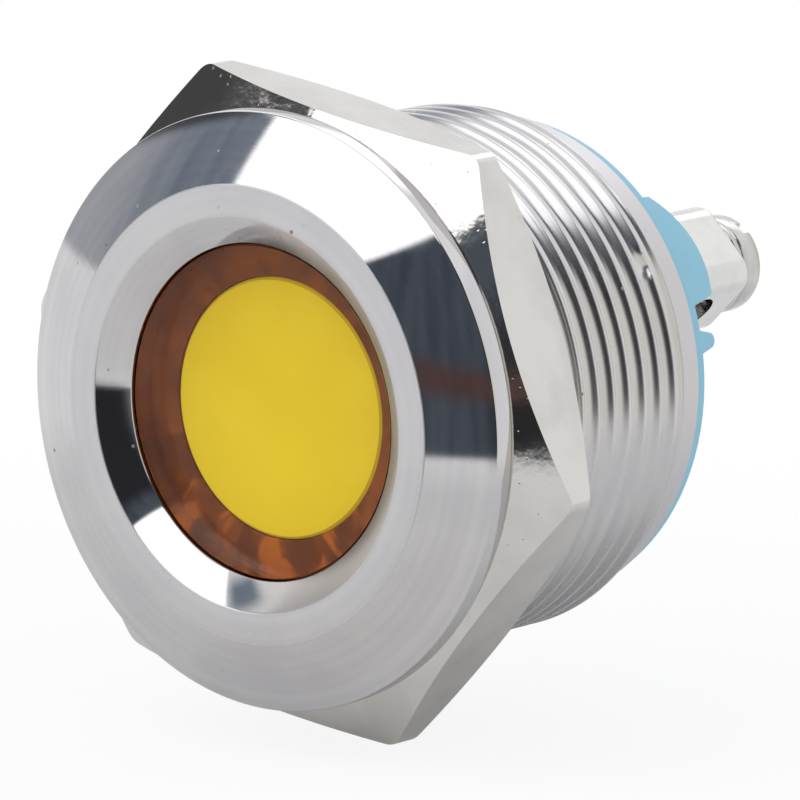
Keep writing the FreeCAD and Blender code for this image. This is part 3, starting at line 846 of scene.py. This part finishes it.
# %% [markdown]
# The floor lies just under the nut. Near the object it is pale paper that takes its shadow, so that the metal's
# underside reflects a real shadow; further out it turns clear and the white room takes over without a line. Seen by
# the camera it is mostly glow, which keeps it white without more light on the object.

# %% Floor finish
GLOW_SHARE = 0.88
floor_material = bpy.data.materials.new("white_floor")
floor_material.use_nodes = True
tree = floor_material.node_tree
tree.nodes.remove(tree.nodes["Principled BSDF"])
spot = add(tree, "ShaderNodeSeparateXYZ", {0: add(tree, "ShaderNodeTexCoord").outputs["Object"]}).outputs
squares = [calc(tree, "MULTIPLY", part, part) for part in (spot[0], spot[1])]
near = remap(tree, calc(tree, "SQRT", calc(tree, "ADD", *squares)), 0.07, 0.035)
paper = add(tree, "ShaderNodeBsdfDiffuse", {"Color": grey(0.9)}).outputs[0]
glow = add(tree, "ShaderNodeEmission", {"Color": grey(1), "Strength": 1.0}).outputs[0]
clear = add(tree, "ShaderNodeBsdfTransparent").outputs[0]
glowing = calc(tree, "MULTIPLY", add(tree, "ShaderNodeLightPath").outputs["Is Camera Ray"], GLOW_SHARE)
lit = add(tree, "ShaderNodeMixShader", {0: glowing, 1: paper, 2: glow}).outputs[0]
tree.links.new(add(tree, "ShaderNodeMixShader", {0: near, 1: clear, 2: lit}).outputs[0],
               tree.nodes["Material Output"].inputs["Surface"])
print("finish", floor_material.name)

# %% Floor
FLOOR_AT, FLOOR_RADIUS = (0, 0.006, -0.0142), 0.08
floor_mesh = bmesh.new()
bmesh.ops.create_circle(floor_mesh, cap_ends=True, segments=96, radius=FLOOR_RADIUS,
                        matrix=Matrix.Translation(FLOOR_AT))
floor_data = bpy.data.meshes.new("floor")
floor_mesh.to_mesh(floor_data)
floor_mesh.free()
floor_data.materials.append(floor_material)
floor = bpy.data.objects.new("floor", floor_data)
bpy.context.scene.collection.objects.link(floor)
print("floor", FLOOR_RADIUS, "m in radius")

# %% [markdown]
# One weak and very wide sun gives the shadow a side. It doesn't show in the metal, where a lamp's round image would
# stand out among the cards.

# %% Key light
key_data = bpy.data.lights.new("key", "SUN")
key_data.energy = 0.5
key_data.angle = math.radians(50)
key = bpy.data.objects.new("key", key_data)
key.rotation_euler = Vector((-0.35, -0.55, 0.75)).to_track_quat("Z", "Y").to_euler()
key.visible_glossy = False
bpy.context.scene.collection.objects.link(key)
print("key light", key_data.energy)

# %% [markdown]
# The camera stands where the photograph's stood. Its direction and distance were fitted to the turned circles, which
# show as ellipses; their widths give the distance and their shapes the direction.

# %% Camera
BACK = Vector((0.6290, -0.7544, 0.1877)).normalized()
camera_data = bpy.data.cameras.new("camera")
camera_data.lens = 405
camera_data.sensor_width = 36
camera = bpy.data.objects.new("camera", camera_data)
camera.location = (0.232617, -0.271258, 0.068642)
camera.rotation_euler = BACK.to_track_quat("Z", "Y").to_euler()
bpy.context.scene.collection.objects.link(camera)
bpy.context.scene.camera = camera
bpy.context.scene.view_settings.view_transform = "Standard"
print("camera", tuple(round(value, 3) for value in camera.location))
